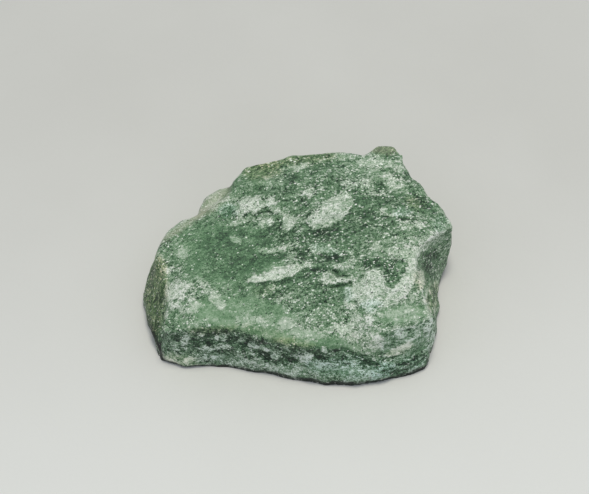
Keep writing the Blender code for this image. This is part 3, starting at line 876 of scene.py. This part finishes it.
def drawn_along_layers(make, entry):
    """The group's Place, measured along, across and through the stone's layers in the group's own sizes."""
    parts = []
    for direction, size in ((LAYER_LENGTH, "Along"), (LAYER_WIDTH, "Across"), (LAYER_NORMAL, "Through")):
        distance = make.vector("DOT_PRODUCT", entry["Place"], tuple(direction))
        parts.append(make.math("DIVIDE", distance, entry[size]))
    return make.add("CombineXYZ", X=parts[0], Y=parts[1], Z=parts[2]).outputs["Vector"]


def layer_grain_group():
    """Grain drawn out along the stone's layers: a value about nought."""
    entries = {"Place": None, "Along": 2.0, "Across": 1.0, "Through": 0.5, "Detail": 2.0, "Roughness": 0.6}
    tree, make, entry = new_group("layer_grain", entries, ["Grain"])
    cloud = make.add("TexNoise", Vector=drawn_along_layers(make, entry), Scale=1.0,
                     Detail=entry["Detail"], Roughness=entry["Roughness"])
    return finish_group(tree, make, Grain=make.math("SUBTRACT", cloud.outputs["Fac"], 0.5))


def hatch_group():
    """Fine scratch-like lines that cross the layers at a slant: a value about nought."""
    tree, make, entry = new_group("cross_hatch", {"Place": None, "Width": 0.22, "Length": 1.6}, ["Hatch"])
    turned = make.add("VectorRotate", {"rotation_type": "Z_AXIS"}, Vector=entry["Place"],
                      Angle=math.radians(56.0)).outputs["Vector"]
    parts = make.add("SeparateXYZ", Vector=turned).outputs
    along = make.math("DIVIDE", parts["X"], entry["Length"])
    across = make.math("DIVIDE", parts["Y"], entry["Width"])
    place = make.add("CombineXYZ", X=along, Y=across, Z=parts["Z"]).outputs["Vector"]
    cloud = make.add("TexNoise", Vector=place, Scale=1.0, Detail=1.0)
    return finish_group(tree, make, Hatch=make.math("SUBTRACT", cloud.outputs["Fac"], 0.5))


def crystals_group():
    """Crystals with uneven outlines: two values of each one's own, and how near its middle a point is."""
    tree, make, entry = new_group("crystals", {"Place": None, "Along": 0.3, "Across": 0.3, "Through": 0.3},
                                  ["Shade", "Turn", "Middle"])
    place = drawn_along_layers(make, entry)
    wander = make.add("TexNoise", Vector=place, Scale=1.3, Detail=1.0).outputs["Color"]
    place = make.vector("ADD", place, make.vector("SCALE", wander, 0.9))
    cells = make.add("TexVoronoi", {"feature": "F1"}, Vector=place, Scale=1.0)
    parts = make.add("SeparateColor", Color=cells.outputs["Color"]).outputs
    middle = make.rise(cells.outputs["Distance"], 0.56, 0.44)
    return finish_group(tree, make, Shade=parts["Red"], Turn=parts["Green"], Middle=middle)


def ragged_mark_group():
    """A mark with a ragged edge: how far it covers a point, from how far inside it the point lies."""
    tree, make, entry = new_group("ragged_mark", {"Reach": 0.0, "Softness": 0.2, "Wander": 0.0}, ["Cover"])
    edge = make.math("ADD", entry["Reach"], entry["Wander"])
    edge = make.math("DIVIDE", edge, entry["Softness"])
    return finish_group(tree, make, Cover=make.rise(edge, -1.0, 1.0))


def paint(red, green, blue):
    """A colour given as everyday display values out of 255, as the shader's own linear values."""
    return tuple((v / 255.0 / 12.92) if v <= 10 else ((v / 255.0 + 0.055) / 1.055) ** 2.4
                 for v in (red, green, blue)) + (1.0,)


# From clear deep green to bruised white stone.
PALENESS_COLOURS = [
    (0.00, paint(20, 42, 27)),
    (0.15, paint(40, 67, 45)),
    (0.30, paint(66, 101, 68)),
    (0.42, paint(92, 131, 91)),
    (0.54, paint(120, 154, 117)),
    (0.66, paint(153, 176, 148)),
    (0.80, paint(187, 201, 181)),
    (0.92, paint(217, 226, 208)),
    (1.00, paint(242, 247, 236)),
]
OLIVE_TINT = (1.10, 0.96, 0.78, 1.0)
MINT_TINT = (0.90, 1.02, 1.05, 1.0)
BEIGE_COLOUR = paint(172, 175, 150)
FOOT_SHADOW_TINT = (0.03, 0.04, 0.035, 1.0)
FRONT_TINT = (0.96, 1.0, 1.01, 1.0)
# The near-white colour into which the painted highlights of glints are blended.
GLINT_COLOUR = (0.96, 1.0, 0.90, 1.0)


def new_material(name):
    """An empty material, its Nodes helper, and the place on the piece in millimetres."""
    material = bpy.data.materials.new(name)
    material.use_nodes = True
    material.node_tree.nodes.clear()
    make = Nodes(material.node_tree)
    return material, make, make.vector("SCALE", make.add("TexCoord").outputs["Object"], 1.0 / MM)


def jade_material(groups):
    """The stone's green, whitened and glittering finish."""
    material, make, place = new_material("raw_jade_stone")
    apart = make.vector("ADD", place, (17.0, 5.0, 29.0))

    def laid(name, where, *sizes, **more):
        """A group's outputs over the stone, drawn out along, across and through its layers."""
        drawn = dict(zip(("Along", "Across", "Through"), sizes))
        return make.use(groups[name], Place=where, **drawn, **more)

    # Grain of several sizes, and what is cut from it.
    swirl = laid("layer_grain", place, 4.5, 2.6, 1.7)["Grain"]
    mottle = laid("layer_grain", place, 1.5, 0.9, 0.6, Detail=4.0, Roughness=0.72)["Grain"]
    speckle = laid("layer_grain", place, 0.17, 0.15, 0.13, Roughness=0.8)["Grain"]
    wander = laid("layer_grain", place, 0.75, 0.45, 0.35, Detail=4.0, Roughness=0.85)["Grain"]
    flecks = laid("layer_grain", apart, 0.60, 0.36, 0.30, Detail=1.5)["Grain"]
    fleck = make.rise(flecks, 0.08, 0.13)
    hole = make.rise(flecks, -0.09, -0.15)
    flakes = laid("layer_grain", apart, 1.3, 0.85, 0.42, Detail=3.0, Roughness=0.7)["Grain"]
    flake = make.rise(flakes, 0.09, 0.13)
    shadow = make.rise(flakes, -0.08, -0.13)
    hatch = laid("cross_hatch", place)["Hatch"]
    fine = laid("crystals", place, 0.26, 0.24, 0.20)
    shade = make.math("SUBTRACT", fine["Shade"], 0.5)
    bright_speck = make.times(make.rise(fine["Shade"], 0.90, 0.96), fine["Middle"])
    dark_speck = make.times(make.rise(fine["Shade"], 0.10, 0.04), fine["Middle"])
    plates = laid("crystals", apart, 0.95, 0.60, 0.42)
    plate = make.rise(plates["Shade"], 0.78, 0.84)
    gap = make.rise(plates["Shade"], 0.22, 0.16)
    chips = laid("crystals", apart, 1.50, 0.90, 0.75)
    chip = make.rise(make.math("MULTIPLY_ADD", speckle, 0.15, chips["Shade"]), 0.71, 0.74)
    chip = make.times(chip, make.rise(chips["Turn"], 0.0, 1.0, 0.6, 1.4))
    gathered = make.total(make.rise(flakes, -0.05, 0.18, 0.10, 1.15), (make.stored("glitter"), 1.1))
    bright_speck = make.times(bright_speck, gathered)
    dark_speck = make.times(dark_speck, gathered)

    # The whitened and the deep places.
    edge_wander = make.total(0.0, (wander, 1.5), (speckle, 0.4), (shade, 0.30))
    covers = {}
    for name in ("pale", "dark"):
        softness = make.stored(name + " softness")
        ragged = make.times(edge_wander, make.rise(softness, 0.1, 0.3, 0.45, 1.0))
        cover = make.use(groups["ragged_mark"], Reach=make.stored(name + " reach"), Softness=softness,
                         Wander=ragged)["Cover"]
        covers[name] = make.times(cover, make.stored(name + " strength"))
    pale = covers["pale"]
    dark = make.times(covers["dark"], make.rise(pale, 0.6, 0.1, 0.3, 1.0))

    # Every grain is a value about nought, weighed in by how lively the place is.
    front, calm = make.stored("front"), make.stored("calm")
    liveliness = make.rise(calm, 0.0, 1.0, 1.0, 0.45)
    liveliness = make.times(liveliness, make.rise(swirl, -0.2, 0.2, 0.75, 1.2))
    liveliness = make.total(liveliness, (front, 0.35))
    patchy = make.total(0.0, (mottle, 0.55), (hatch, 0.25), (fleck, 0.13), (hole, -0.12), (plate, 0.11),
                        (gap, -0.13))
    patchy = make.times(patchy, make.rise(pale, 0.3, 0.9, 1.0, 0.60))
    lively = make.total(patchy, (speckle, 1.60), (shade, 0.32), (bright_speck, 1.15), (dark_speck, -1.15))
    broken = make.times(make.total(0.35, (front, 0.65)), liveliness)
    broken_shade = make.total(0.0, (flake, 0.22), (shadow, -0.17))
    # Painted shade: hollows of the worked surface are darker, and its crests are lighter, as bruised edges
    # are.
    hollow_shade_and_bruise = make.math("SUBTRACT", 0.5, make.stored("hollow"))
    # tone holds broad lighter and darker places, among them painted light and painted shade.
    total = make.total(0.452, (pale, 0.37), (dark, -0.30), (swirl, 0.16), (lively, liveliness),
                       (hollow_shade_and_bruise, 0.28), (broken, broken_shade), (front, -0.12), (make.stored("tone"), 1.0),
                       (make.times(chip, front), 0.24))

    # Painted highlights: flat crystal faces that catch the light are blended near white into the colour,
    # many faint and few bright, each set in a darker ring of painted shade.
    glint = laid("crystals", place, 0.34, 0.19, 0.18)
    facing = make.times(make.rise(glint["Shade"], 0.87, 0.92), gathered)
    facing = make.times(facing, make.rise(calm, 0.1, 0.9, 1.0, 0.25))
    caught = make.times(make.times(facing, glint["Middle"]),
                       make.rise(glint["Turn"], 0.40, 1.0))
    seat_shade = make.times(facing, make.math("SUBTRACT", 1.0, glint["Middle"]))
    total = make.total(total, (seat_shade, -0.30))

    scale = make.add("ValToRGB", Fac=total)
    stops = scale.color_ramp.elements
    while len(stops) < len(PALENESS_COLOURS):
        stops.new(0.5)
    for stop, (at, colour) in zip(stops, PALENESS_COLOURS):
        stop.position = at
        stop.color = colour
    colour = scale.outputs["Color"]

    tint = make.stored("tint")
    colour = make.blend(make.rise(tint, 0.0, -1.0), colour, OLIVE_TINT, "MULTIPLY")
    colour = make.blend(make.rise(tint, 0.0, 1.0), colour, MINT_TINT, "MULTIPLY")
    # Painted shadow: the foot and the left toe are darkened nearly to black.
    colour = make.blend(make.stored("foot"), colour, FOOT_SHADOW_TINT, "MULTIPLY")
    colour = make.blend(front, colour, FRONT_TINT, "MULTIPLY")
    # Beige at the knob, and painted light glowing through the thin ledge and rim.
    colour = make.blend(make.stored("beige"), colour, BEIGE_COLOUR)

    # More painted highlights: rarer, larger glints blended near white into the colour.
    sparkle = laid("crystals", apart, 0.44, 0.26, 0.24)
    burst = make.times(make.rise(sparkle["Shade"], 0.93, 0.945), sparkle["Middle"])
    burst = make.times(burst, make.rise(sparkle["Turn"], 0.1, 0.8, 0.35, 1.0))
    burst = make.times(burst, make.rise(calm, 0.1, 0.6, 1.0, 0.0))
    caught = make.math("MAXIMUM", caught, make.times(burst, 0.95))
    caught = make.times(caught, make.rise(front, 0.0, 1.0, 1.0, 0.5))
    colour = make.blend(caught, colour, GLINT_COLOUR)

    gloss = make.rise(total, 0.2, 0.9, 0.48, 0.68)
    gloss = make.total(gloss, (speckle, 0.25), (caught, -0.3))

    relief = make.total(0.0, (mottle, 0.8), (speckle, 0.7), (hatch, 0.35), (shade, 0.22))
    relief = make.times(relief, liveliness)
    relief = make.total(relief, (pale, 0.35), (dark, -0.35))
    bump = make.add("Bump", Strength=1.0, Distance=0.20 * MM, Height=relief)

    shader = make.add("BsdfPrincipled", Base_Color=colour, Roughness=gloss,
                      Normal=bump.outputs["Normal"])
    shader.inputs["IOR"].default_value = 1.45
    shader.inputs["Subsurface Weight"].default_value = 0.12
    shader.inputs["Subsurface Radius"].default_value = (0.7, 1.0, 0.7)
    shader.inputs["Subsurface Scale"].default_value = 0.8 * MM
    make.add("OutputMaterial", Surface=shader.outputs["BSDF"])
    return material


def paper_material():
    """The pale table: smooth card with a faint uneven tone, and painted light that makes it lighter towards
    the front.
    """
    material, make, place = new_material("pale_card")
    cloud = make.add("TexNoise", Vector=place, Scale=0.03, Detail=3.0)
    painted_light_nearer = make.rise(make.add("SeparateXYZ", Vector=place).outputs["Y"], 40.0, -60.0)
    fibre = make.add("TexNoise", Vector=place, Scale=1.3, Detail=2.0)
    tone = make.total(cloud.outputs["Fac"], (fibre.outputs["Fac"], 0.10))
    colour = make.blend(make.rise(tone, 0.2, 0.9), (0.60, 0.59, 0.553, 1.0), (0.64, 0.63, 0.593, 1.0))
    # Painted light: the card grows lighter towards the front.
    colour = make.blend(make.times(painted_light_nearer, 0.65), colour, (0.85, 0.85, 0.82, 1.0))
    bump = make.add("Bump", Strength=0.25, Distance=0.1 * MM, Height=fibre.outputs["Fac"])
    shader = make.add("BsdfPrincipled", Base_Color=colour, Normal=bump.outputs["Normal"])
    shader.inputs["Roughness"].default_value = 0.75
    make.add("OutputMaterial", Surface=shader.outputs["BSDF"])
    return material


# ---------------------------------------------------------------- light, table and camera
def area_light(name, place, size, power, colour):
    """A round soft light that looks at the stone."""
    light = bpy.data.lights.new(name, "AREA")
    light.shape = "DISK"
    light.size = size
    light.energy = power
    light.color = colour
    lamp = placed(name, light)
    lamp.location = place
    lamp.rotation_euler = (-Vector(place)).to_track_quat("-Z", "Y").to_euler()


def studio():
    world = bpy.data.worlds.new("soft_room")
    world.use_nodes = True
    sky = world.node_tree.nodes["Background"]
    sky.inputs["Color"].default_value = (0.88, 0.965, 1.07, 1.0)
    sky.inputs["Strength"].default_value = 0.48
    bpy.context.scene.world = world
    area_light("overhead", (0.03, 0.02, 0.55), 0.20, 1.52, (1.02, 0.985, 0.885))
    bpy.context.scene.view_settings.view_transform = "Standard"


def table(material):
    bm = bmesh.new()
    bmesh.ops.create_grid(bm, x_segments=24, y_segments=24, size=0.6)
    mesh = bpy.data.meshes.new("table")
    bm.to_mesh(mesh)
    bm.free()
    mesh.materials.append(material)
    floor = placed("table", mesh)


def camera():
    lens = bpy.data.cameras.new("camera")
    lens.lens = LENS
    lens.sensor_width = SENSOR
    lens.sensor_fit = "HORIZONTAL"
    lens.clip_start = 0.01
    eye = placed("camera", lens)
    eye.location = camera_frame()[0] * MM
    eye.rotation_euler = (math.radians(90.0 - CAMERA_HEIGHT), 0.0, 0.0)
    bpy.context.scene.camera = eye


# ---------------------------------------------------------------- the scene
def main():
    groups = {"layer_grain": layer_grain_group(), "cross_hatch": hatch_group(),
              "crystals": crystals_group(), "ragged_mark": ragged_mark_group()}
    mesh = fine_copy("jade_boulder")
    work(Surface(mesh))
    mesh.materials.append(jade_material(groups))
    stone = placed("jade_stone", mesh)
    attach(stone, "root")
    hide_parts("jade_boulder")
    table(paper_material())
    studio()
    camera()


main()
